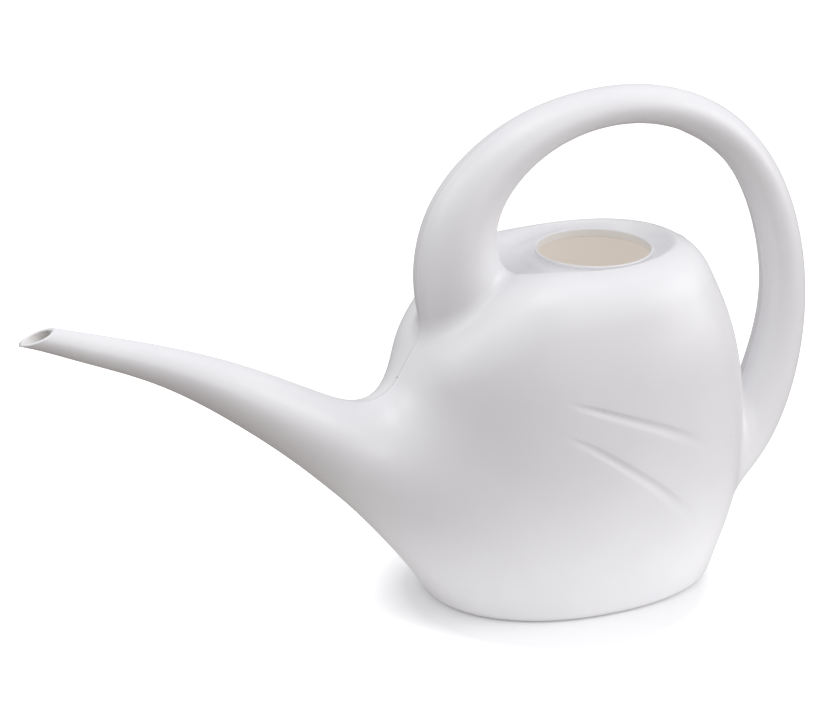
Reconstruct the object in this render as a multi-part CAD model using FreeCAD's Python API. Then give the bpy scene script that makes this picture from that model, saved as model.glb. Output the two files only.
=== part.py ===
import FreeCAD, Part
import math
import os

# A one-piece indoor watering can in thin polythene, cut into the six sections of its moulding.
# Millimetres. +Z is up, the spout points towards -X and the can is mirror symmetric about Y = 0.
# The origin is on the surface that the can stands on, below the middle of its overall box.

V = FreeCAD.Vector

WALL = 1.6                  # thickness of the moulding
SECTION_POINTS = 24         # points that each closed section is drawn through

# Tank: height, centre in X, half length in X and half width in Y of its level sections.
TANK_SIDE = [
    (0.0, 68.5, 69.0, 51.0),
    (38.0, 70.5, 79.0, 55.5),
    (82.0, 70.5, 83.5, 59.5),
    (120.0, 69.5, 79.0, 57.5),
    (162.0, 67.5, 66.0, 50.0),
]
TANK_FULLNESS = 2.25        # 2 is an ellipse, and more is squarer
TANK_TOP = 162.0
SHOULDER_HEIGHT = 28.0
SHOULDER_DEEP_X = 28.0      # how far the shoulder comes in along X
SHOULDER_DEEP_Y = 20.0
FOOT_ROUND = 4.0            # rounding where the side meets the standing face
WALL_STEPS = 6
ARC_STEPS = 5

# Levels at which the tank is divided into its base pan, wall and top.
PAN_TOP = 12.0
WALL_TOP = TANK_TOP - SHOULDER_HEIGHT

# The floor is pushed up inside a standing ring.
PUSH_UP = 3.0
PUSH_UP_SCALE_LOW = 0.86
PUSH_UP_SCALE_HIGH = 0.80

# The filler opening stands in a shallow dish, inside a low collar.
FILLER_X = 81.5
FILLER_RADIUS = 26.0
COLLAR_THICKNESS = 2.2
COLLAR_TOP = 159.5
DISH_FLOOR = 157.0
DISH_X = 79.0
DISH_LOW = (33.0, 30.5)     # half length and half width at the dish's floor
DISH_HIGH = (41.0, 36.0)    # the same at the level of the tank's top
DISH_ABOVE = 1.0            # how far the cutting form runs above the tank's top

# Spout and handle: centre X and Z, half height across the bend and half width in Y.
SPOUT = [
    (-198.5, 162.5, 5.2, 5.4),
    (-185.5, 158.0, 5.2, 5.6),
    (-167.5, 151.0, 6.0, 6.7),
    (-130.0, 136.5, 8.3, 9.5),
    (-90.0, 115.0, 12.8, 15.4),
    (-48.0, 88.5, 19.2, 20.2),
    (-9.5, 63.5, 29.0, 28.0),
    (29.0, 44.0, 34.6, 30.7),
]
TIP_X = -185.5
TIP_Z = 158.0
TIP_SLOPE = 17.3            # degrees that the slanted mouth rises towards the tank
HANDLE = [
    (29.0, 96.0, 25.0, 23.0),
    (17.5, 125.0, 24.0, 21.0),
    (13.7, 153.5, 20.2, 18.2),
    (16.0, 182.5, 16.1, 16.1),
    (39.5, 211.0, 11.3, 13.0),
    (82.0, 225.2, 8.9, 11.5),
    (123.0, 219.8, 8.9, 11.5),
    (157.5, 196.0, 9.2, 11.5),
    (177.0, 158.5, 9.6, 11.5),
    (182.5, 120.0, 10.8, 12.0),
    (176.5, 83.0, 11.5, 12.5),
    (159.0, 53.5, 14.0, 14.0),
    (131.0, 33.5, 15.0, 16.0),
]

# Two moulded grooves on each side, as X and Z of points along them.
GROOVES = [
    [(44.0, 108.5), (57.5, 104.5), (72.5, 98.0), (91.0, 88.0), (112.5, 75.0)],
    [(42.5, 90.5), (55.0, 84.0), (69.5, 74.0), (90.5, 55.0), (109.0, 37.0)],
]
GROOVE_RADII = (1.4, 2.0, 2.3, 2.0, 1.4)
GROOVE_STAND_OFF = 1.2      # the groove's round centre line lies this far outside the wall


def closed_wire(points):
    """A smooth closed wire through points."""
    curve = Part.BSplineCurve()
    curve.interpolate(Points=points, PeriodicFlag=True)
    return Part.Wire([curve.toShape()])


def ring_angles():
    """Evenly spaced angles once round a section."""
    return [2 * math.pi * step / SECTION_POINTS for step in range(SECTION_POINTS)]


def signed_power(value, power):
    """The power of a number's size, with the number's sign."""
    return math.copysign(abs(value) ** power, value)


def level_section(z, centre_x, half_length, half_width):
    """A level, slightly squared oval."""
    power = 2 / TANK_FULLNESS
    points = []
    for angle in ring_angles():
        x = centre_x + half_length * signed_power(math.cos(angle), power)
        y = half_width * signed_power(math.sin(angle), power)
        points.append(V(x, y, z))
    return closed_wire(points)


def slopes(rows, column):
    """Slope of one column at every station, from the stations on each side."""
    last = len(rows) - 1
    result = []
    for index in range(len(rows)):
        ahead = rows[min(index + 1, last)]
        behind = rows[max(index - 1, 0)]
        result.append((ahead[column] - behind[column]) / (ahead[0] - behind[0]))
    return result


def tank_side(z):
    """Centre, half length and half width of the tank's side at a height, on smooth curves."""
    index = 0
    while z > TANK_SIDE[index + 1][0]:
        index += 1
    low = TANK_SIDE[index]
    high = TANK_SIDE[index + 1]
    span = high[0] - low[0]
    share = (z - low[0]) / span
    rest = 1 - share
    values = []
    for column in (1, 2, 3):
        slope = slopes(TANK_SIDE, column)
        value = low[column] * rest * rest * (1 + 2 * share) + high[column] * share * share * (1 + 2 * rest)
        bend = slope[index] * rest - slope[index + 1] * share
        values.append(value + bend * share * rest * span)
    return values


def arc_angles():
    """Angles up a quarter turn, with both of its ends."""
    return [math.pi / 2 * step / ARC_STEPS for step in range(ARC_STEPS + 1)]


def tank_section(z, inward_x, inward_y):
    """A level section of the tank, drawn in from its side along X and Y."""
    centre_x, half_length, half_width = tank_side(z)
    return level_section(z, centre_x, half_length - inward_x, half_width - inward_y)


def pan_form(inset):
    """The foot of the tank's solid form, or its hollow when inset is the wall's thickness."""
    radius = FOOT_ROUND - inset
    sections = []
    for angle in reversed(arc_angles()):
        inward = inset + radius * (1 - math.cos(angle))
        sections.append(tank_section(FOOT_ROUND - radius * math.sin(angle), inward, inward))
    sections.append(tank_section(PAN_TOP, inset, inset))
    return Part.makeLoft(sections, True, True)


def wall_form(inset):
    """The side of the tank's form, from the base pan to the shoulder."""
    sections = []
    for step in range(WALL_STEPS + 1):
        z = PAN_TOP + (WALL_TOP - PAN_TOP) * step / WALL_STEPS
        sections.append(tank_section(z, inset, inset))
    return Part.makeLoft(sections, True)


def top_form(inset):
    """The shoulder and flat top of the tank's form."""
    sections = []
    for angle in arc_angles():
        z = WALL_TOP + (SHOULDER_HEIGHT - inset) * math.sin(angle)
        inward_x = inset + (SHOULDER_DEEP_X - inset) * (1 - math.cos(angle))
        inward_y = inset + (SHOULDER_DEEP_Y - inset) * (1 - math.cos(angle))
        sections.append(tank_section(z, inward_x, inward_y))
    return Part.makeLoft(sections, True, True)


def tube_form(stations, inset):
    """A bent tapering tube with oval sections square to its centre line."""
    sections = []
    last = len(stations) - 1
    for index, (x, z, half_height, half_width) in enumerate(stations):
        ahead = stations[min(index + 1, last)]
        behind = stations[max(index - 1, 0)]
        along = V(ahead[0] - behind[0], 0, ahead[1] - behind[1]).normalize()
        across = V(-along.z, 0, along.x)
        points = []
        for angle in ring_angles():
            rise = across * ((half_height - inset) * math.cos(angle))
            side = V(0, (half_width - inset) * math.sin(angle), 0)
            points.append(V(x, 0, z) + rise + side)
        sections.append(closed_wire(points))
    return Part.makeLoft(sections, True)


def dish_form(grow):
    """The dish round the filler, grown outwards and down for the hollow below it."""
    low = level_section(DISH_FLOOR - grow, DISH_X, DISH_LOW[0] + grow, DISH_LOW[1] + grow)
    top_z = TANK_TOP + DISH_ABOVE
    high = level_section(top_z, DISH_X, DISH_HIGH[0] + grow, DISH_HIGH[1] + grow)
    return Part.makeLoft([low, high], True, True)


def push_up_form(grow):
    """The space below the pushed-up floor, grown upwards for the floor above it."""
    centre_x, half_length, half_width = TANK_SIDE[0][1:]
    low = level_section(
        0, centre_x, PUSH_UP_SCALE_LOW * half_length + grow, PUSH_UP_SCALE_LOW * half_width + grow)
    high = level_section(
        PUSH_UP + grow, centre_x, PUSH_UP_SCALE_HIGH * half_length + grow,
        PUSH_UP_SCALE_HIGH * half_width + grow)
    return Part.makeLoft([low, high], True, True)


def filler_cylinder(radius, low_z, high_z):
    """An upright cylinder on the filler's axis."""
    return Part.makeCylinder(radius, high_z - low_z, V(FILLER_X, 0, low_z))


def groove_form(points, grow):
    """A thin tube that follows the tank's side at -Y and sinks into it."""
    sections = []
    last = len(points) - 1
    for index, (x, z) in enumerate(points):
        centre_x, half_length, half_width = tank_side(z)
        across = 1 - abs((x - centre_x) / half_length) ** TANK_FULLNESS
        y = -half_width * across ** (1 / TANK_FULLNESS) - GROOVE_STAND_OFF
        ahead = points[min(index + 1, last)]
        behind = points[max(index - 1, 0)]
        along = V(ahead[0] - behind[0], 0, ahead[1] - behind[1]).normalize()
        radius = GROOVE_RADII[index] + grow
        sections.append(Part.Wire([Part.Circle(V(x, y, z), along, radius).toShape()]))
    return Part.makeLoft(sections, True)


def with_mirror(shape):
    """A form and its mirror image on the other side of the can."""
    return [shape, shape.mirror(V(0, 0, 0), V(0, 1, 0))]


def make_tank_wall(openings):
    """The side, with its grooves sunk in and the wall carried in behind them."""
    outer = wall_form(0)
    backs = []
    cuts = []
    for points in GROOVES:
        backs += with_mirror(groove_form(points, WALL))
        cuts += with_mirror(groove_form(points, 0))
    backs = [back.common(outer) for back in backs]
    wall = outer.cut(wall_form(WALL)).fuse(backs)
    return wall.cut(cuts + openings)


def make_base_pan():
    """The foot and the floor, which is pushed up inside a standing ring."""
    hollow = pan_form(WALL).cut(push_up_form(WALL))
    return pan_form(0).cut([hollow, push_up_form(0)])


def make_tank_top(openings):
    """The shoulder and top, with a shallow dish round the filler."""
    hollow = top_form(WALL).cut(dish_form(WALL))
    collar = filler_cylinder(FILLER_RADIUS + COLLAR_THICKNESS, WALL_TOP, TANK_TOP + DISH_ABOVE)
    return top_form(0).cut([hollow, dish_form(0), collar] + openings)


def make_filler_rim():
    """The low collar that stands round the filler opening."""
    outer = filler_cylinder(FILLER_RADIUS + COLLAR_THICKNESS, DISH_FLOOR - WALL, COLLAR_TOP)
    return outer.cut(filler_cylinder(FILLER_RADIUS, DISH_FLOOR - WALL, COLLAR_TOP))


def tip_cutter():
    """The block beyond the slanted mouth of the spout."""
    block = Part.makeBox(60, 40, 30, V(-30, -20, 0))
    block.Placement = FreeCAD.Placement(
        V(TIP_X, 0, TIP_Z), FreeCAD.Rotation(V(0, 1, 0), -TIP_SLOPE))
    return block


def build():
    """Every section of the can by name."""
    tank = [pan_form(0), wall_form(0), top_form(0)]
    spout_outer = tube_form(SPOUT, 0)
    spout_bore = tube_form(SPOUT, WALL)
    handle_outer = tube_form(HANDLE, 0)
    handle_bore = tube_form(HANDLE, WALL)
    return {
        "base_pan": make_base_pan(),
        "tank_wall": make_tank_wall([spout_bore, handle_bore]),
        "tank_top": make_tank_top([handle_bore]),
        "filler_rim": make_filler_rim(),
        "spout": spout_outer.cut(tank + [spout_bore, tip_cutter()]),
        "handle": handle_outer.cut(tank + [spout_outer, handle_bore]),
    }


def main():
    os.makedirs("parts", exist_ok=True)
    for name, shape in build().items():
        solids = len(shape.Solids)
        print(name, "valid", shape.isValid(), "solids", solids, "cm3", round(shape.Volume / 1000, 2))
        shape.exportStep(os.path.join("parts", name + ".step"))


main()
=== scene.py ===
import math

import bmesh
import bpy
import numpy as np
import openvdb as vdb
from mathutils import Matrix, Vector


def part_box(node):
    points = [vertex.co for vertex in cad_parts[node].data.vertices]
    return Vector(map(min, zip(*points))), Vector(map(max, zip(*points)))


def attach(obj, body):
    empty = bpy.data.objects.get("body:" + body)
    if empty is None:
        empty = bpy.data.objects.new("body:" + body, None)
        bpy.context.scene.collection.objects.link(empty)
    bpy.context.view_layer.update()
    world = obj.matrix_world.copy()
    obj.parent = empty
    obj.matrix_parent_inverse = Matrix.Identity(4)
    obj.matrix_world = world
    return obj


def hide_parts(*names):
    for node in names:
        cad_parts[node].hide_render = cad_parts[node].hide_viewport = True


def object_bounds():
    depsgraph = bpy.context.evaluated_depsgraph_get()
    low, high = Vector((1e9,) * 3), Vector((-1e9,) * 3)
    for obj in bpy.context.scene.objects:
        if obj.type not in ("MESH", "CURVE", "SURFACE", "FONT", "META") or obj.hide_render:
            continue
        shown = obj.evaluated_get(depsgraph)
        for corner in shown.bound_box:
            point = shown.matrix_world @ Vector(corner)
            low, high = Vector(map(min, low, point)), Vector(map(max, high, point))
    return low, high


# The can is one hollow moulding, so its outer skin is one smooth signed-distance form in millimetres.
# That form is meshed once, cut where the CAD nodes meet, and each piece gets the moulding's thickness.

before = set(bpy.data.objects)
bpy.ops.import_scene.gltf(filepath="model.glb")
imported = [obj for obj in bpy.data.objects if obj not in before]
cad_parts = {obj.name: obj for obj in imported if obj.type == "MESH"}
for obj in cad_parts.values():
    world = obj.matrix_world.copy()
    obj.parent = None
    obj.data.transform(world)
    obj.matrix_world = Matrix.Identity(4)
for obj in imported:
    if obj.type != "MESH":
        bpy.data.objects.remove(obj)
CAD_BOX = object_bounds()
MM = 0.001


def corners(node):
    """A CAD node's lowest and highest corners in millimetres."""
    low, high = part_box(node)
    return np.array(low) / MM, np.array(high) / MM


# ---------------------------------------------------------------- sizes, in millimetres

PAN_TOP = corners("base_pan")[1][2]
WALL_TOP = corners("tank_wall")[1][2]
TANK_TOP = corners("tank_top")[1][2]
RIM_LOW, RIM_HIGH = corners("filler_rim")
FILLER_X = (RIM_LOW[0] + RIM_HIGH[0]) / 2
COLLAR_RADIUS = (RIM_HIGH[0] - RIM_LOW[0]) / 2
COLLAR_TOP = RIM_HIGH[2]
WALL = 1.6
DISH_FLOOR = RIM_LOW[2] + WALL
COLLAR_THICKNESS = 2.2
FILLER_RADIUS = COLLAR_RADIUS - COLLAR_THICKNESS
GRID = 1.25

# Height, centre in X, half length, half width and squareness of the tank's level sections.
TANK = [
    (0.0, 69.6, 67.9, 52.4, 2.2),
    (38.0, 70.2, 82.1, 56.0, 2.2),
    (82.0, 68.9, 84.9, 59.1, 2.25),
    (120.0, 67.0, 79.5, 58.3, 2.3),
    (162.0, 65.0, 62.9, 48.4, 2.3),
]
SHOULDER_X = 12.0           # reach of the shoulder's rounding at the tank's ends
SHOULDER_Y = 20.0           # and on its sides
FALL_START = 34.5           # in front of this X the top slopes down to the spout
FALL_SLOPE = 0.75
FALL_EASE = 10.0
FOOT_ROUND = 3.5
PUSH_UP = 3.0
PUSH_UP_EDGE = (0.78, 0.88)  # shares of the foot's size between which the floor comes down to the ring

# Dish round the filler: centre in X, then half length and half width of its floor and of its crest.
DISH_X = 76.0
DISH_FLOOR_SIZE = (35.5, 29.5)
DISH_CREST_SIZE = (45.0, 34.5)
HOLLOW_X = 42.0             # the dish is deepest between the filler and the handle
HOLLOW_SIZE = (8.0, 15.0)
HOLLOW_DEPTH = 4.0
COLLAR_LEVEL = 6.0          # the top is level for this far round the collar

# Spout and handle: centre X and Z, half height across the bend and half width in Y.
SPOUT = [
    (-198.5, 162.5, 5.2, 5.4),
    (-185.5, 158.0, 5.2, 5.6),
    (-167.5, 151.2, 6.1, 6.7),
    (-130.0, 136.4, 8.4, 9.5),
    (-90.0, 115.0, 12.7, 15.4),
    (-48.0, 87.1, 18.7, 20.2),
    (-9.5, 63.5, 28.0, 27.0),
    (29.0, 45.4, 33.0, 30.9),
]
TIP = (-184.6, 158.0)
TIP_SLOPE = math.radians(17.3)
HANDLE = [
    (38.0, 100.0, 22.0, 13.0),
    (21.0, 128.0, 21.5, 16.0),
    (13.1, 153.5, 20.6, 18.5),
    (15.2, 182.5, 16.4, 16.1),
    (39.3, 211.0, 11.7, 13.0),
    (82.0, 225.1, 8.9, 11.5),
    (123.0, 219.8, 8.9, 11.5),
    (157.3, 196.0, 9.2, 11.5),
    (176.6, 158.5, 10.1, 11.5),
    (182.1, 120.0, 10.8, 12.0),
    (175.9, 83.0, 13.2, 12.5),
    (161.1, 53.5, 14.5, 14.0),
    (137.5, 35.0, 17.2, 17.0),
]
SPOUT_BLEND = 32.0
HANDLE_BLEND = 7.0
REAR_BLEND = 11.0
REAR_X = 96.0               # behind this the handle's blend is its rear root's
REAR_RUN = 20.0             # and it changes over this run

# Two grooves on each side, as X and Z of points along them.
GROOVES = [
    [(36.5, 111.4), (60.2, 102.6), (74.5, 96.7), (89.0, 90.3), (105.1, 81.7), (118.0, 73.5)],
    [(35.0, 96.0), (51.9, 87.3), (65.1, 78.3), (86.5, 62.0), (97.5, 52.0), (114.5, 34.5)],
]
GROOVE_DEPTH = 0.95
GROOVE_ABOVE = 2.8          # the crease's steep upper side and its gentle lower side
GROOVE_BELOW = 5.2
GROOVE_WIDEN = (0.5, 0.6)   # share of those widths at the front end, and how much is added by the rear end
GROOVE_ENDS = (0.3, 0.4)    # shares of the length over which the front and rear ends fade
GROOVE_SIDES = 20.0         # Y round which the grooves begin, so that none crosses the front or the back
PARTING_RISE = 0.3          # the mould's parting line stands this proud of the skin
PARTING_HALF_WIDTH = 0.6
# Where the parting line fades out, and over how far: below the top, outside the filler, above the floor.
PARTING_BELOW_TOP = (2.0, 6.0)
PARTING_FROM_FILLER = (40.0, 8.0)
PARTING_ABOVE_FLOOR = (2.0, 4.0)


# ---------------------------------------------------------------- the form

def smooth_min(a, b, reach):
    """The smaller of two distances, rounded where they are within reach of each other."""
    share = np.clip(0.5 + 0.5 * (b - a) / reach, 0, 1)
    return b + (a - b) * share - reach * share * (1 - share)


def smooth_max(a, b, reach):
    return -smooth_min(-a, -b, reach)


def ease(value):
    """0 below 0 and 1 above 1, with a smooth run between."""
    value = np.clip(value, 0, 1)
    return value * value * (3 - 2 * value)


class Spline:
    """A natural cubic spline through rows whose first column is the parameter."""

    def __init__(self, rows):
        rows = np.array(rows, float)
        self.at = rows[:, 0]
        self.values = rows[:, 1:]
        steps = np.diff(self.at)
        count = len(self.at)
        system = np.eye(count)
        right = np.zeros_like(self.values)
        rise = np.diff(self.values, axis=0) / steps[:, None]
        for i in range(1, count - 1):
            system[i, i - 1:i + 2] = steps[i - 1], 2 * (steps[i - 1] + steps[i]), steps[i]
            right[i] = 6 * (rise[i] - rise[i - 1])
        self.bend = np.linalg.solve(system, right)

    def __call__(self, where):
        where = np.clip(where, self.at[0], self.at[-1])
        i = np.clip(np.searchsorted(self.at, where, side="right") - 1, 0, len(self.at) - 2)
        step = (self.at[i + 1] - self.at[i])[..., None]
        high = (where - self.at[i])[..., None] / step
        low = 1 - high
        bend = (low ** 3 - low) * self.bend[i] + (high ** 3 - high) * self.bend[i + 1]
        return low * self.values[i] + high * self.values[i + 1] + bend * step ** 2 / 6


class Tube:
    """A bent tapering tube with an oval section, along a centre line in the plane Y = 0."""

    SAMPLES = 260
    CHUNK = 20000
    NEWTON_STEPS = 2
    LEAST_TURN = 0.3        # guards those steps inside a tight bend
    LEAST_SLOPE = 0.5       # guards the distance near the centre line

    def __init__(self, stations):
        stations = np.array(stations)
        chords = np.hypot(*np.diff(stations[:, :2], axis=0).T)
        along = np.concatenate([[0], np.cumsum(chords)])
        self.t = np.linspace(0, along[-1], self.SAMPLES)
        self.line = Spline(np.column_stack([along, stations]))(self.t)
        heading = np.gradient(self.line[:, :2], self.t, axis=0)
        self.heading = heading / np.hypot(*heading.T)[:, None]
        self.bend = np.gradient(self.heading, axis=0)
        self.spans = np.diff(self.line[:, :2], axis=0)

    def project(self, x, z):
        """Offset across, run past the ends, half height and half width, for points in the plane."""
        parts = []
        for start in range(0, len(x), self.CHUNK):
            parts.append(self._project(x[start:start + self.CHUNK], z[start:start + self.CHUNK]))
        return np.concatenate(parts, axis=1)

    def _project(self, x, z):
        """Finds the nearest span, then the place on the smooth line between its samples."""
        points = np.column_stack([x, z])
        gaps = (x[:, None] - self.line[:, 0]) ** 2 + (z[:, None] - self.line[:, 1]) ** 2
        nearest = gaps.argmin(axis=1)
        best = np.full(len(x), np.inf)
        place = np.zeros(len(x))
        for i in (np.maximum(nearest - 1, 0), np.minimum(nearest, len(self.spans) - 1)):
            share = ((points - self.line[i, :2]) * self.spans[i]).sum(axis=1)
            share = np.clip(share / (self.spans[i] ** 2).sum(axis=1), 0, 1)
            gap = ((points - self.line[i, :2] - share[:, None] * self.spans[i]) ** 2).sum(axis=1)
            closer = gap < best
            best = np.where(closer, gap, best)
            place = np.where(closer, i + share, place)
        for turn in range(self.NEWTON_STEPS):
            off = points - self.at(place, self.line[:, :2])
            run = (off * self.at(place, self.heading)).sum(axis=1)
            tightness = (off * self.at(place, self.bend)).sum(axis=1)
            step = run / np.maximum(self.t[1] - tightness, self.LEAST_TURN * self.t[1])
            place = np.clip(place + np.clip(step, -1, 1), 0, self.SAMPLES - 1)
        centre_x, centre_z, half_height, half_width = self.at(place, self.line).T
        head_x, head_z = self.at(place, self.heading).T
        off_x = x - centre_x
        off_z = z - centre_z
        across = off_z * head_x - off_x * head_z
        past = np.where((place <= 0) | (place >= self.SAMPLES - 1), off_x * head_x + off_z * head_z, 0)
        return np.array([across, past, half_height, half_width])

    def at(self, place, rows):
        """Rows of a table read between its numbered samples."""
        low = np.minimum(place.astype(int), self.SAMPLES - 2)
        share = (place - low)[:, None]
        return rows[low] * (1 - share) + rows[low + 1] * share

    def distance(self, projected, y):
        """Signed distance to the tube for projected points at a Y."""
        across, past, half_height, half_width = projected
        radius = np.sqrt((across / half_height) ** 2 + (y / half_width) ** 2) + 1e-9
        slope = np.sqrt((across / half_height ** 2) ** 2 + (y / half_width ** 2) ** 2) / radius
        result = (radius - 1) / np.maximum(slope, self.LEAST_SLOPE / np.maximum(half_height, half_width))
        result = np.maximum(result, -np.minimum(half_height, half_width))
        return np.where(past != 0, np.sqrt(np.maximum(result, 0) ** 2 + past ** 2), result)


tank_side = Spline(TANK)
spout_tube = Tube(SPOUT)
handle_tube = Tube(HANDLE)
groove_lines = [Spline([(x, z) for x, z in points]) for points in GROOVES]


def oval(x, y, centre_x, half_length, half_width, fullness=2.0):
    """Size of the squared oval through a point, as a share of the given one."""
    u = np.abs(x - centre_x) / half_length + 1e-9
    v = np.abs(y) / half_width + 1e-9
    return (u ** fullness + v ** fullness) ** (1 / fullness)


def tank_distance(x, y, z):
    """The tank with its shoulder and dish, running on below the floor."""
    centre_x, half_length, half_width, fullness = tank_side(z).T
    share = oval(x, y, centre_x, half_length, half_width, fullness)
    u = np.abs(x - centre_x) / half_length / share
    v = np.abs(y) / half_width / share
    slope = np.hypot(u ** (fullness - 1) / half_length, v ** (fullness - 1) / half_width)
    side = np.maximum((share - 1) / slope, -np.minimum(half_length, half_width))

    floor_size = oval(x, y, DISH_X, *DISH_FLOOR_SIZE)
    crest_size = oval(x, y, DISH_X, *DISH_CREST_SIZE)
    out = (floor_size - 1) / (floor_size - crest_size + 1e-9)
    ahead = FALL_START - x
    run = np.hypot(ahead, FALL_EASE)
    fall = FALL_SLOPE * (ahead + run) / 2
    tilt = FALL_SLOPE * (1 + ahead / run) / 2
    hollow = HOLLOW_DEPTH * np.exp(-oval(x, y, HOLLOW_X, *HOLLOW_SIZE) ** 2)
    level = ease((np.hypot(x - FILLER_X, y) - COLLAR_RADIUS) / COLLAR_LEVEL)
    top = DISH_FLOOR + (TANK_TOP - DISH_FLOOR) * ease(out) - (hollow + fall) * level
    reach = SHOULDER_Y + (SHOULDER_X - SHOULDER_Y) * u ** 2 / (u ** 2 + v ** 2)
    return smooth_max(side, (z - top) / np.hypot(1, tilt), reach)


def floor_height(x, y):
    """The underside: level on the standing ring and pushed up inside it."""
    share = oval(x, y, *TANK[0][1:])
    low, high = PUSH_UP_EDGE
    return PUSH_UP * ease((high - share) / (high - low))


def groove_sink(x, y, z):
    """How far the grooves sink the sides."""
    sink = np.zeros_like(x)
    for line in groove_lines:
        first, last = line.at[0], line.at[-1]
        slope = (line(x + 1)[:, 0] - line(x - 1)[:, 0]) / 2
        off = (z - line(x)[:, 0]) / np.hypot(1, slope)
        share = np.clip((x - first) / (last - first), 0, 1)
        width = np.where(off > 0, GROOVE_ABOVE, GROOVE_BELOW) * (GROOVE_WIDEN[0] + GROOVE_WIDEN[1] * share)
        depth = GROOVE_DEPTH * ease(share / GROOVE_ENDS[0]) * ease((1 - share) / GROOVE_ENDS[1])
        sink = sink + depth * ease(1 - np.abs(off) / width)
    return sink * ease(np.abs(y) / GROOVE_SIDES - 0.5)


def parting_rise(x, y, z):
    """How far the mould's parting line lifts the skin."""
    gap, run = PARTING_BELOW_TOP
    clear = ease((TANK_TOP - gap - z) / run)
    gap, run = PARTING_FROM_FILLER
    clear = np.minimum(clear + ease((np.abs(x - FILLER_X) - gap) / run), 1)
    gap, run = PARTING_ABOVE_FLOOR
    clear = clear * ease((z - gap) / run)
    return PARTING_RISE * clear * np.clip(1 - np.abs(y) / PARTING_HALF_WIDTH, 0, 1)


def can_distance(x, y, z, plan=None, detail=True):
    """Signed distance to the outer skin of the whole can, below zero inside."""
    spout_plan, handle_plan = plan or (spout_tube.project(x, z), handle_tube.project(x, z))
    result = smooth_min(tank_distance(x, y, z), spout_tube.distance(spout_plan, y), SPOUT_BLEND)
    rear = ease((x - REAR_X) / REAR_RUN + 0.5)
    blend = HANDLE_BLEND + (REAR_BLEND - HANDLE_BLEND) * rear
    result = smooth_min(result, handle_tube.distance(handle_plan, y), blend)
    result = smooth_max(result, floor_height(x, y) - z, FOOT_ROUND)
    if detail:
        result = result + groove_sink(x, y, z) - parting_rise(x, y, z)
    return result


def distance_at(points, detail=True):
    return can_distance(points[:, 0], points[:, 1], points[:, 2], detail=detail)


def slope_of(value, points, reach):
    """Slope of any value in X, Y and Z."""
    result = np.empty_like(points)
    for axis in range(3):
        step = np.zeros(3)
        step[axis] = reach
        result[:, axis] = value(points + step) - value(points - step)
    return result / (2 * reach)


def gradient_at(points, reach, detail=True):
    """Slope of the distance in X, Y and Z."""
    return slope_of(lambda p: distance_at(p, detail), points, reach)


def unit(vectors):
    return vectors / np.maximum(np.linalg.norm(vectors, axis=-1, keepdims=True), 1e-12)


# ---------------------------------------------------------------- meshing the form

MARGIN_CELLS = 4
TUBE_RUN_ON = 12.0          # the spout's tube runs on past its slanted mouth
SETTLE_ROUNDS = 4
SETTLE_SHARE = 0.5          # how far a point moves towards the middle of its neighbours in one round
SETTLE_REACH = 0.6          # reach of the slopes, in millimetres: coarse while the form has no detail
DETAIL_REACH = 0.15
DETAIL_ROUNDS = 3
LEAST_SLOPE = 0.2           # guards the step where the form's slope squared is near zero


def mesh_form():
    """Points and four-sided faces on the skin, from a grid with a row of cells along Y = 0."""
    margin = MARGIN_CELLS * GRID
    low = np.array(CAD_BOX[0]) / MM - margin
    high = np.array(CAD_BOX[1]) / MM + margin
    low[0] -= TUBE_RUN_ON
    low[1] = -(math.ceil(high[1] / GRID) + 0.5) * GRID
    counts = np.ceil((high - low) / GRID).astype(int) + 1
    axes = [low[i] + GRID * np.arange(counts[i]) for i in range(3)]
    x, z = (grid.ravel() for grid in np.meshgrid(axes[0], axes[2], indexing="ij"))
    plan = (spout_tube.project(x, z), handle_tube.project(x, z))
    values = np.empty(counts, np.float32)
    for layer, y in enumerate(axes[1]):
        same = can_distance(x, np.full(len(x), y), z, plan, detail=False)
        values[:, layer, :] = same.reshape(counts[0], counts[2])
    grid = vdb.FloatGrid()
    grid.copyFromArray(values)
    points, quads = grid.convertToQuads(isovalue=0.0)
    return points * GRID + low, quads.astype(int)


def settle(points, quads):
    """Evens out the points along the skin and puts them exactly on it."""
    pairs = np.concatenate([quads[:, [i, (i + 1) % 4]] for i in range(4)])
    pairs = np.concatenate([pairs, pairs[:, ::-1]])
    degree = np.bincount(pairs[:, 0], minlength=len(points))
    row = np.round(points[:, 1] / GRID)
    middle = np.abs(row) <= 1
    for turn in range(SETTLE_ROUNDS):
        slope = gradient_at(points, SETTLE_REACH, detail=False)
        points = points - distance_at(points, False)[:, None] * slope / (slope ** 2).sum(axis=1)[:, None]
        normal = unit(slope)
        total = np.zeros_like(points)
        np.add.at(total, pairs[:, 0], points[pairs[:, 1]])
        drift = total / degree[:, None] - points
        drift -= (drift * normal).sum(axis=1)[:, None] * normal
        points = points + SETTLE_SHARE * drift
        points[middle, 1] = row[middle] * PARTING_HALF_WIDTH
    return points


# ---------------------------------------------------------------- cutting the skin into its sections

STEEPEST = 1.4              # slope of the difference of two distances that part at a right angle
TIP_END = TIP[0] + 25.0     # the mouth and everything past it lies in front of this X
CUT_REACH = 0.3
CUT_NORMAL_REACH = 0.4
SNAP = 0.25                 # points nearer to a cut than this share of a cell are moved onto it
PAST_CUT = 1.0              # a cut's line runs on this far past the line that ends it
PAN_BAND = 2.0              # the spout's line starts this far below the pan's
COLLAR_BAND = 3.0           # the collar's line is looked for this near to the dish's floor


def part_distances(points):
    """Distances to the tank, the spout's tube and the handle's tube, each on its own."""
    x, y, z = points.T
    tank = tank_distance(x, y, z)
    spout = spout_tube.distance(spout_tube.project(x, z), y)
    handle = handle_tube.distance(handle_tube.project(x, z), y)
    return tank, spout, handle


def to_handle(points):
    """Below zero where the skin belongs to the handle."""
    tank, spout, handle = part_distances(points)
    return (handle - np.minimum(tank, spout)) / STEEPEST


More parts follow.
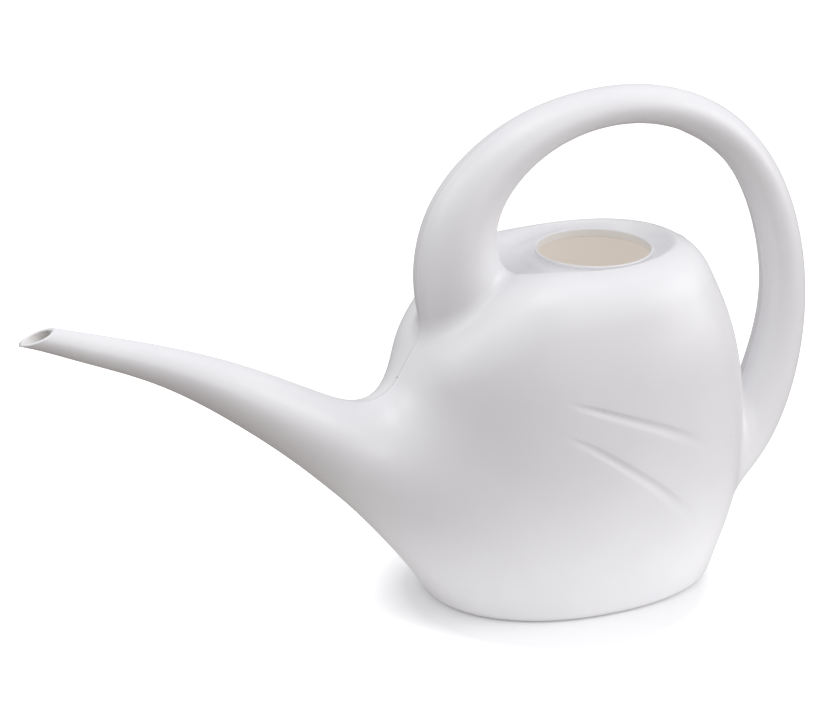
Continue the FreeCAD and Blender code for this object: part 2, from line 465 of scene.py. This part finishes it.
def to_spout(points):
    """Below zero where the skin belongs to the spout."""
    tank, spout = part_distances(points)[:2]
    return (spout - tank) / STEEPEST


def past_tip(points):
    """Above zero beyond the slanted mouth of the spout."""
    off_x = points[:, 0] - TIP[0]
    off_z = points[:, 2] - TIP[1]
    return off_z * math.cos(TIP_SLOPE) - off_x * math.sin(TIP_SLOPE)


def from_collar(points):
    """Distance outside the filler's collar, measured level."""
    return np.hypot(points[:, 0] - FILLER_X, points[:, 1]) - COLLAR_RADIUS


def on_tank(points):
    return (to_handle(points) > -PAST_CUT) & (to_spout(points) > -PAST_CUT)


# Each cut's line is where its value is zero, looked for only where its second function says.
CUTS = [
    (to_handle, lambda p: np.full(len(p), True)),
    (to_spout, lambda p: (to_handle(p) > -PAST_CUT) & (p[:, 2] > PAN_TOP - PAN_BAND)),
    (lambda p: p[:, 2] - PAN_TOP, lambda p: p[:, 2] < WALL_TOP),
    (lambda p: p[:, 2] - WALL_TOP, on_tank),
    (from_collar, lambda p: (p[:, 2] > WALL_TOP) & on_tank(p) & (np.abs(p[:, 2] - DISH_FLOOR) < COLLAR_BAND)),
    (past_tip, lambda p: p[:, 0] < TIP_END),
]


def move_onto(value, points, normals):
    """Slides points along the skin until value is zero."""
    slope = slope_of(value, points, CUT_REACH)
    along = slope - (slope * normals).sum(axis=1)[:, None] * normals
    return points - value(points)[:, None] * along / np.maximum((along * slope).sum(axis=1), 1e-6)[:, None]


def positions(bm):
    return np.array([vert.co for vert in bm.verts])


def cut_along(bm, value, where):
    """Splits the faces along the line where value is zero, after snapping the points next to it."""
    points = positions(bm)
    near = np.flatnonzero(where(points))
    amounts = np.full(len(points), np.nan)
    amounts[near] = value(points[near])
    close = np.flatnonzero(np.abs(amounts) < SNAP * GRID)
    normals = unit(gradient_at(points[close], CUT_NORMAL_REACH, False))
    moved = move_onto(value, points[close], normals)
    bm.verts.ensure_lookup_table()
    for index, point in zip(close, moved):
        bm.verts[index].co = point
    amounts[close] = 0
    level = bm.verts.layers.float.new("level")
    for vert, amount in zip(bm.verts, amounts):
        vert[level] = amount
    made = []
    for edge in list(bm.edges):
        first, second = edge.verts
        product = first[level] * second[level]
        if product < 0:
            share = first[level] / (first[level] - second[level])
            vert = bmesh.utils.edge_split(edge, first, share)[1]
            vert[level] = 0
            made.append(vert)
    on_line = {vert for vert in bm.verts if vert[level] == 0}
    faces = {face for vert in on_line for face in vert.link_faces}
    for face in faces:
        touching = [vert for vert in face.verts if vert in on_line]
        if len(touching) == 2 and bm.edges.get(touching) is None:
            bmesh.utils.face_split(face, *touching)
    bm.verts.layers.float.remove(level)


FINE_REACH = 6.5            # the faces are finer this far above and below a groove
FINE_ENDS = 3.0             # this far past its ends
FINE_SIDES = 25.0           # and only outside this Y
FINE_SLANT = 0.8            # the grooves slope, so a gap square to them is this share of its height


def refine_grooves(bm):
    """Finer faces where the grooves run."""
    bm.verts.ensure_lookup_table()
    points = positions(bm)
    x, y, z = points.T
    near = np.zeros(len(points), bool)
    for line in groove_lines:
        gap = np.abs(z - line(x)[:, 0]) * FINE_SLANT
        along = (x > line.at[0] - FINE_ENDS) & (x < line.at[-1] + FINE_ENDS)
        near |= (gap < FINE_REACH) & along & (np.abs(y) > FINE_SIDES)
    edges = [edge for edge in bm.edges if near[edge.verts[0].index] and near[edge.verts[1].index]]
    bmesh.ops.subdivide_edges(bm, edges=edges, cuts=1, use_grid_fill=True)


def sections(points, faces):
    """The name of the section that each face belongs to, or None where it is cut away."""
    centres = np.array([points[face].mean(axis=0) for face in faces])
    names = np.where(centres[:, 2] > WALL_TOP, "tank_top", "tank_wall").astype(object)
    names[centres[:, 2] < PAN_TOP] = "base_pan"
    names[(to_spout(centres) < 0) & (centres[:, 2] > PAN_TOP)] = "spout"
    names[to_handle(centres) < 0] = "handle"
    names[(past_tip(centres) > 0) & (centres[:, 0] < TIP_END)] = None
    names[(from_collar(centres) < 0) & (names == "tank_top")] = None
    return names


# ---------------------------------------------------------------- pieces with a real thickness

def add_mesh(name, points, faces, loop_normals, face_slots, materials):
    """A mesh object in metres with its own normals."""
    mesh = bpy.data.meshes.new(name + "_moulding")
    mesh.from_pydata([tuple(point) for point in points * MM], [], faces)
    for material in materials:
        mesh.materials.append(material)
    mesh.polygons.foreach_set("material_index", face_slots)
    mesh.polygons.foreach_set("use_smooth", [True] * len(faces))
    mesh.normals_split_custom_set([tuple(normal) for normal in loop_normals])
    mesh.update()
    piece = bpy.data.objects.new(name + "_moulding", mesh)
    bpy.context.collection.objects.link(piece)
    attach(piece, "root")
    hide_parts(name)
    return piece


RIM_STEPS = 4
RIM_BULGE = 0.35
RIM_LEAN = 0.8              # share of the outward direction in the normals over that edge
MOUTH = np.array([-math.sin(TIP_SLOPE), 0, math.cos(TIP_SLOPE)])    # the way the spout's mouth faces
MOUTH_BAND = 0.5            # free edges this near to the mouth's plane are the mouth's own
LEVEL_REACH = 40.0          # the inner skin is drawn level with the mouth only this near to it in X
LEVEL_RUN = 12.0            # and more so the nearer it is to the mouth's plane, from this far in


def inner_points(points, normals):
    """The points a wall's thickness further in, kept level with the spout's slanted mouth."""
    inner = points - WALL * normals
    outer_gap = past_tip(points)
    near = (points[:, 0] < TIP[0] + LEVEL_REACH) & (outer_gap > -LEVEL_RUN)
    heading = -spout_tube.heading[np.argmin(np.hypot(*(spout_tube.line[:, :2] - TIP).T))]
    axis = np.array([heading[0], 0, heading[1]])
    shift = (outer_gap - past_tip(inner)) / (axis @ MOUTH) * np.clip(1 + outer_gap / LEVEL_RUN, 0, 1)
    inner[near] += (shift[:, None] * axis)[near]
    return inner


def free_edges(faces):
    """Edges that only one face uses, in that face's direction."""
    edges = [edge for ids in faces for edge in zip(ids, ids[1:] + ids[:1])]
    used = set(edges)
    return [(i, j) for i, j in edges if (j, i) not in used]


def mouth_ring(outer, inner, outward):
    """Points and directions over the rounded edge of the spout's mouth, at one point of its rim."""
    shares = np.arange(1, RIM_STEPS) / RIM_STEPS
    swell = RIM_BULGE * np.sin(math.pi * shares)
    over = outer + shares[:, None] * (inner - outer) + swell[:, None] * MOUTH
    turn = math.pi * shares[:, None]
    lean = np.cos(turn) * outward * RIM_LEAN + np.sin(turn) * MOUTH
    return over, unit(np.vstack([outward + MOUTH, lean, MOUTH - outward]))


def make_piece(name, points, normals, faces, materials):
    """One section: its outer skin, its inner skin and the strips that close its edges."""
    used = np.unique(np.concatenate(faces))
    number = {old: new for new, old in enumerate(used)}
    outer = points[used]
    outward = normals[used]
    inner = inner_points(outer, outward)
    count = len(outer)
    outer_faces = [[number[i] for i in face] for face in faces]
    inner_faces = [[i + count for i in reversed(ids)] for ids in outer_faces]
    all_points = [outer, inner]
    all_faces = outer_faces + inner_faces
    all_normals = [outward[i] for ids in outer_faces for i in ids]
    all_normals += [-outward[i - count] for ids in inner_faces for i in ids]
    slots = [0] * len(outer_faces) + [1] * len(inner_faces)
    rim = free_edges(outer_faces)
    open_end = (np.abs(past_tip(outer)) < MOUTH_BAND) & (outer[:, 0] < TIP_END)
    rings = {}
    total = 2 * count
    for i in {i for edge in rim for i in edge if open_end[i]}:
        over, leans = mouth_ring(outer[i], inner[i], outward[i])
        rings[i] = [i, *range(total, total + RIM_STEPS - 1), i + count], leans
        all_points.append(over)
        total += RIM_STEPS - 1
    for i, j in rim:
        if i in rings and j in rings:
            (first, first_leans), (second, second_leans) = rings[i], rings[j]
            for k in range(RIM_STEPS):
                all_faces.append([second[k], first[k], first[k + 1], second[k + 1]])
                all_normals += [second_leans[k], first_leans[k], first_leans[k + 1], second_leans[k + 1]]
                slots.append(0)
        else:
            all_faces.append([j, i, i + count, j + count])
            flat = unit(np.cross(outer[i] - outer[j], inner[i] - outer[i]))
            all_normals += [flat] * 4
            slots.append(1)
    return add_mesh(name, np.concatenate(all_points), all_faces, all_normals, slots, materials)


COLLAR_STEPS = 160
COLLAR_FILLET = 0.9
INNER_FILLET = 0.5
LIP_RADIUS = 0.65
FILLET_STEPS = 4
LIP_STEPS = 8
INNER_ROW = FILLET_STEPS + LIP_STEPS + 1    # from this row of its section on, the collar faces inwards


def collar_profile():
    """Radius, height and outward direction round the collar's section."""
    base = DISH_FLOOR
    under = DISH_FLOOR - WALL
    wall_r = COLLAR_RADIUS - COLLAR_FILLET
    lip_z = COLLAR_TOP - LIP_RADIUS
    rows = []
    for step in range(FILLET_STEPS + 1):
        angle = math.pi / 2 * step / FILLET_STEPS
        rows.append((COLLAR_RADIUS - COLLAR_FILLET * math.sin(angle),
                     base + COLLAR_FILLET * (1 - math.cos(angle)), math.sin(angle), math.cos(angle)))
    half = (wall_r - FILLER_RADIUS) / 2
    for step in range(LIP_STEPS + 1):
        angle = math.pi * step / LIP_STEPS
        rows.append((FILLER_RADIUS + half + half * math.cos(angle),
                     lip_z + LIP_RADIUS * math.sin(angle), math.cos(angle), math.sin(angle)))
    for step in range(FILLET_STEPS + 1):
        angle = math.pi / 2 * step / FILLET_STEPS
        rows.append((FILLER_RADIUS + INNER_FILLET * (1 - math.cos(angle)),
                     under + INNER_FILLET * (1 - math.sin(angle)), -math.cos(angle), -math.sin(angle)))
    rows.append((COLLAR_RADIUS, under, 0, -1))
    return rows


def make_collar(materials):
    """The filler's collar, turned from its section."""
    rows = collar_profile()
    size = len(rows)
    points = []
    normals = []
    for step in range(COLLAR_STEPS):
        turn = 2 * math.pi * step / COLLAR_STEPS
        c, s = math.cos(turn), math.sin(turn)
        points += [(FILLER_X + r * c, r * s, z) for r, z, out, up in rows]
        normals += [(out * c, out * s, up) for r, z, out, up in rows]
    faces = []
    loops = []
    slots = []
    for step in range(COLLAR_STEPS):
        here = step * size
        there = (step + 1) % COLLAR_STEPS * size
        for k in range(size):
            following = (k + 1) % size
            face = [here + k, there + k, there + following, here + following]
            faces.append(face)
            slots.append(1 if INNER_ROW <= k < size - 1 else 0)
            if following == 0:
                turn = 2 * math.pi * (step + 0.5) / COLLAR_STEPS
                loops += [(math.cos(turn), math.sin(turn), 0)] * 4
            else:
                loops += [normals[i] for i in face]
    return add_mesh("filler_rim", np.array(points), faces, loops, slots, materials)


# ---------------------------------------------------------------- materials

def node(tree, kind, **inputs):
    """A shader node with some of its inputs set."""
    made = tree.nodes.new(kind)
    for name, value in inputs.items():
        made.inputs[name.replace("_", " ")].default_value = value
    return made


def ramp(tree, stops):
    """A colour ramp through places and colours."""
    made = tree.nodes.new("ShaderNodeValToRGB")
    elements = made.color_ramp.elements
    for index, (place, colour) in enumerate(stops):
        element = elements[index] if index < 2 else elements.new(place)
        element.position = place
        element.color = (*colour, 1)
    return made


def polythene(name, pale, dull, rough, glow):
    """Blown polythene: nearly even, with cloudy changes of tone, a faint mould grain and a few specks; a
    given glow paints light onto it as emission.
    """
    material = bpy.data.materials.new(name)
    material.use_nodes = True
    tree = material.node_tree
    link = tree.links.new
    shader = tree.nodes["Principled BSDF"]
    shader.inputs["IOR"].default_value = 1.5
    shader.inputs["Emission Color"].default_value = GLOW_COLOUR
    shader.inputs["Emission Strength"].default_value = glow
    place = tree.nodes.new("ShaderNodeTexCoord").outputs["Object"]
    clouds = node(tree, "ShaderNodeTexNoise", Scale=22.0, Detail=3.0, Roughness=0.5)
    flow = node(tree, "ShaderNodeMapping", Scale=(1.0, 1.0, 0.25))
    streaks = node(tree, "ShaderNodeTexNoise", Scale=160.0, Detail=2.0, Roughness=0.5)
    grain = node(tree, "ShaderNodeTexNoise", Scale=1500.0, Detail=2.0, Roughness=0.6)
    colours = ramp(tree, [(0.32, dull), (0.68, pale)])
    link(place, clouds.inputs["Vector"])
    link(clouds.outputs["Fac"], colours.inputs["Fac"])
    link(specks(tree, place, colours.outputs["Color"]), shader.inputs["Base Color"])
    link(place, flow.inputs["Vector"])
    link(flow.outputs["Vector"], streaks.inputs["Vector"])
    link(place, grain.inputs["Vector"])
    sheen = node(tree, "ShaderNodeMapRange")
    sheen.inputs["From Min"].default_value = 0.3
    sheen.inputs["From Max"].default_value = 0.7
    sheen.inputs["To Min"].default_value = rough - 0.04
    sheen.inputs["To Max"].default_value = rough + 0.05
    link(streaks.outputs["Fac"], sheen.inputs["Value"])
    link(sheen.outputs["Result"], shader.inputs["Roughness"])
    soft = node(tree, "ShaderNodeBump", Strength=0.12, Distance=0.0004)
    fine = node(tree, "ShaderNodeBump", Strength=0.10, Distance=0.0001)
    link(streaks.outputs["Fac"], soft.inputs["Height"])
    link(grain.outputs["Fac"], fine.inputs["Height"])
    link(soft.outputs["Normal"], fine.inputs["Normal"])
    link(fine.outputs["Normal"], shader.inputs["Normal"])
    return material


SPECK_REACH = 0.024         # radius of a speck, as a share of a cell of the pattern
SPECK_SHARE = 0.86          # only the cells whose random value is above this have one
SPECK_COLOUR = (0.16, 0.15, 0.15, 1)


def specks(tree, place, colour):
    """Mixes a few dark specks, under a millimetre across, into a colour."""
    link = tree.links.new
    cells = node(tree, "ShaderNodeTexVoronoi", Scale=60.0)
    split = tree.nodes.new("ShaderNodeSeparateXYZ")
    both = tree.nodes.new("ShaderNodeMath")
    both.operation = "MULTIPLY"
    mix = tree.nodes.new("ShaderNodeMix")
    mix.data_type = "RGBA"
    link(place, cells.inputs["Vector"])
    link(cells.outputs["Color"], split.inputs["Vector"])
    link(compare(tree, "LESS_THAN", cells.outputs["Distance"], SPECK_REACH), both.inputs[0])
    link(compare(tree, "GREATER_THAN", split.outputs["X"], SPECK_SHARE), both.inputs[1])
    link(both.outputs["Value"], mix.inputs["Factor"])
    link(colour, mix.inputs["A"])
    mix.inputs["B"].default_value = SPECK_COLOUR
    return mix.outputs["Result"]


def compare(tree, operation, value, limit):
    """1 where the value passes the comparison with a fixed limit, and otherwise 0."""
    made = tree.nodes.new("ShaderNodeMath")
    made.operation = operation
    tree.links.new(value, made.inputs[0])
    made.inputs[1].default_value = limit
    return made.outputs["Value"]


def floor_material(name):
    """Matt white with a painted glow that is weaker near the can, so the floor is painted darker round the
    foot and the can's shadow stays close.
    """
    material = bpy.data.materials.new(name)
    material.use_nodes = True
    tree = material.node_tree
    shader = tree.nodes["Principled BSDF"]
    shader.inputs["Roughness"].default_value = 0.9
    shader.inputs["Specular IOR Level"].default_value = 0.1
    shader.inputs["Base Color"].default_value = (0.86, 0.86, 0.86, 1)
    shader.inputs["Emission Color"].default_value = (1, 1, 1, 1)
    away = node(tree, "ShaderNodeVectorMath")
    away.operation = "DISTANCE"
    away.inputs[1].default_value = GLOW_MIDDLE
    glow = node(tree, "ShaderNodeMapRange")
    glow.inputs["From Min"].default_value = GLOW_RADII[0]
    glow.inputs["From Max"].default_value = GLOW_RADII[1]
    glow.inputs["To Min"].default_value = FLOOR_GLOW[0]
    glow.inputs["To Max"].default_value = FLOOR_GLOW[1]
    tree.links.new(tree.nodes.new("ShaderNodeTexCoord").outputs["Object"], away.inputs[0])
    tree.links.new(away.outputs["Value"], glow.inputs["Value"])
    tree.links.new(glow.outputs["Result"], shader.inputs["Emission Strength"])
    return material


# ---------------------------------------------------------------- building the can

INNER_GLOW = 0.17           # painted glow on the inner skin, standing in for light that comes through the thin wall
NECK_GLOW = 0.02            # a weaker painted glow near the openings, where that light comes in directly
# Warm colour of that painted glow.
GLOW_COLOUR = (1.0, 0.93, 0.86, 1)


def build_can():
    # Inner faces get a warmer, slightly darker tone and a painted glow, both standing in for light that comes
    # through the thin wall; the spout's and the collar's inner faces get the weaker glow.
    outside = polythene("white_polythene", (0.82, 0.815, 0.825), (0.79, 0.785, 0.80), 0.33, 0.0)
    inside = polythene("polythene_inside_painted_glow", (0.80, 0.775, 0.75), (0.76, 0.735, 0.71), 0.45, INNER_GLOW)
    neck = polythene("polythene_neck_painted_glow", (0.80, 0.785, 0.765), (0.76, 0.745, 0.725), 0.45, NECK_GLOW)
    points, quads = mesh_form()
    points = settle(points, quads)
    bm = bmesh.new()
    verts = [bm.verts.new(point) for point in points]
    for quad in quads:
        bm.faces.new([verts[i] for i in quad])
    for value, where in CUTS:
        cut_along(bm, value, where)
    refine_grooves(bm)
    bm.normal_update()
    bm.verts.index_update()
    points = positions(bm)
    faces = [np.array([vert.index for vert in face.verts]) for face in bm.faces]
    bm.free()
    for turn in range(DETAIL_ROUNDS):
        slope = gradient_at(points, DETAIL_REACH)
        size = np.maximum((slope ** 2).sum(axis=1), LEAST_SLOPE)
        points = points - (distance_at(points) / size)[:, None] * slope
    normals = unit(gradient_at(points, DETAIL_REACH))
    first = points[faces[0]]
    facing = np.cross(first[1] - first[0], first[2] - first[1]) @ normals[faces[0][0]]
    if facing < 0:
        faces = [face[::-1] for face in faces]
    names = sections(points, faces)
    for name in ("base_pan", "tank_wall", "tank_top", "spout", "handle"):
        own = [faces[i] for i in np.flatnonzero(names == name)]
        piece = make_piece(name, points, normals, own, [outside, neck if name == "spout" else inside])
        print("PIECE", name, len(piece.data.vertices), len(piece.data.polygons))
    make_collar([outside, neck])


build_can()


# ---------------------------------------------------------------- floor, light and camera

VIEW_AZIMUTH = -25.0
VIEW_ELEVATION = 21.0
VIEW_DISTANCE = 1.536
VIEW_TARGET = (-0.0087, 0.0, 0.1188)
VIEW_LENS = 148.9

NEAR_FLOOR = 0.14           # radius within which the floor throws light back on the can
FOOT_MIDDLE = TANK[0][1] * MM
FLOOR_LEVEL = -0.0001       # a hair below the foot, so that the two faces never share a plane
FLOOR_HUB = 0.02            # radius of the flat face in the middle
FLOOR_REACH = 2.6
FLOOR_RISE = 1.2            # radius of the sweep's curve
FLOOR_TOP = 3.0
FLOOR_TURNS = 96
SWEEP_STEPS = 12
FLOOR_GLOW = (0.08, 0.6)    # the floor's own light inside and outside the radii below
GLOW_RADII = (0.068, 0.10)
GLOW_MIDDLE = (0.058, -0.01, 0.0)


def turned_floor(name, profile, material, bounces):
    """A floor turned round the can's middle from radius and height, whose light can be kept off the can."""
    points = []
    for radius, height in profile:
        for step in range(FLOOR_TURNS):
            turn = 2 * math.pi * step / FLOOR_TURNS
            points.append((FOOT_MIDDLE + radius * math.cos(turn), radius * math.sin(turn), height))
    faces = []
    for row in range(len(profile) - 1):
        for step in range(FLOOR_TURNS):
            here = row * FLOOR_TURNS + step
            beside = row * FLOOR_TURNS + (step + 1) % FLOOR_TURNS
            faces.append((here, here + FLOOR_TURNS, beside + FLOOR_TURNS, beside))
    if profile[0][0] < NEAR_FLOOR:
        faces.append(tuple(range(FLOOR_TURNS)))
    mesh = bpy.data.meshes.new(name)
    mesh.from_pydata(points, [], faces)
    mesh.materials.append(material)
    floor = bpy.data.objects.new(name, mesh)
    floor.visible_diffuse = bounces
    floor.visible_glossy = False
    bpy.context.collection.objects.link(floor)


def add_floor():
    """A white floor that curves up far from the can; only its middle lights the can."""
    white = floor_material("studio_white")
    sweep = [(NEAR_FLOOR, FLOOR_LEVEL), (FLOOR_REACH, FLOOR_LEVEL)]
    for step in range(1, SWEEP_STEPS + 1):
        turn = math.pi / 2 * step / SWEEP_STEPS
        sweep.append((FLOOR_REACH + FLOOR_RISE * math.sin(turn), FLOOR_RISE * (1 - math.cos(turn))))
    sweep.append((FLOOR_REACH + FLOOR_RISE, FLOOR_TOP))
    turned_floor("studio_floor", [(FLOOR_HUB, FLOOR_LEVEL), (NEAR_FLOOR, FLOOR_LEVEL)], white, True)
    turned_floor("studio_sweep", sweep, white, False)


SKY = 0.95
# Place from straight below (0) to straight above (1), and the room's colour there.
SKY_COLOURS = [
    (0.0, (0.46, 0.42, 0.40)),
    (0.3, (0.24, 0.22, 0.21)),
    (0.45, (0.36, 0.34, 0.33)),
    (0.6, (0.70, 0.70, 0.71)),
    (1.0, (0.80, 0.80, 0.83)),
]
AIM = (0.0, 0.0, 0.1)
# Name, place, size, power and colour of each softbox.
SOFTBOXES = [
    ("top_box", (-0.25, -0.1, 1.6), (1.0, 0.8), 5.2, (0.98, 0.99, 1.0)),
    ("left_box", (-1.3, 0.4, 1.1), (0.8, 0.8), 3.0, (1.0, 1.0, 1.0)),
    ("right_box", (1.5, -0.6, 0.6), (1.2, 1.2), 10.5, (0.98, 0.98, 1.0)),
    ("front_box", (0.3, -1.7, 0.6), (1.0, 1.0), 4.2, (1.0, 0.98, 0.98)),
]


def add_softbox(name, place, size, power, colour):
    light = bpy.data.lights.new(name, "AREA")
    light.shape = "RECTANGLE"
    light.size, light.size_y = size
    light.energy = power
    light.color = colour
    lamp = bpy.data.objects.new(name, light)
    lamp.location = place
    lamp.rotation_euler = (Vector(AIM) - Vector(place)).to_track_quat("-Z", "Y").to_euler()
    bpy.context.collection.objects.link(lamp)


def add_camera():
    azimuth = math.radians(VIEW_AZIMUTH)
    elevation = math.radians(VIEW_ELEVATION)
    back = Vector((math.sin(azimuth) * math.cos(elevation),
                   -math.cos(azimuth) * math.cos(elevation), math.sin(elevation)))
    camera = bpy.data.objects.new("camera", bpy.data.cameras.new("camera"))
    camera.data.lens = VIEW_LENS
    camera.data.sensor_width = 36.0
    camera.location = Vector(VIEW_TARGET) + back * VIEW_DISTANCE
    camera.rotation_euler = (-back).to_track_quat("-Z", "Y").to_euler()
    bpy.context.collection.objects.link(camera)
    bpy.context.scene.camera = camera


def add_light():
    """A soft room, bright overhead and dim below, with softboxes overhead, at each side and in front."""
    world = bpy.data.worlds.new("studio")
    bpy.context.scene.world = world
    world.use_nodes = True
    tree = world.node_tree
    direction = tree.nodes.new("ShaderNodeTexCoord").outputs["Generated"]
    split = tree.nodes.new("ShaderNodeSeparateXYZ")
    height = node(tree, "ShaderNodeMapRange")
    height.inputs["From Min"].default_value = -1.0
    sky = ramp(tree, SKY_COLOURS)
    tree.links.new(direction, split.inputs["Vector"])
    tree.links.new(split.outputs["Z"], height.inputs["Value"])
    tree.links.new(height.outputs["Result"], sky.inputs["Fac"])
    tree.links.new(sky.outputs["Color"], tree.nodes["Background"].inputs["Color"])
    tree.nodes["Background"].inputs["Strength"].default_value = SKY
    for box in SOFTBOXES:
        add_softbox(*box)


add_floor()
add_light()
add_camera()
bpy.context.scene.view_settings.view_transform = "Standard"
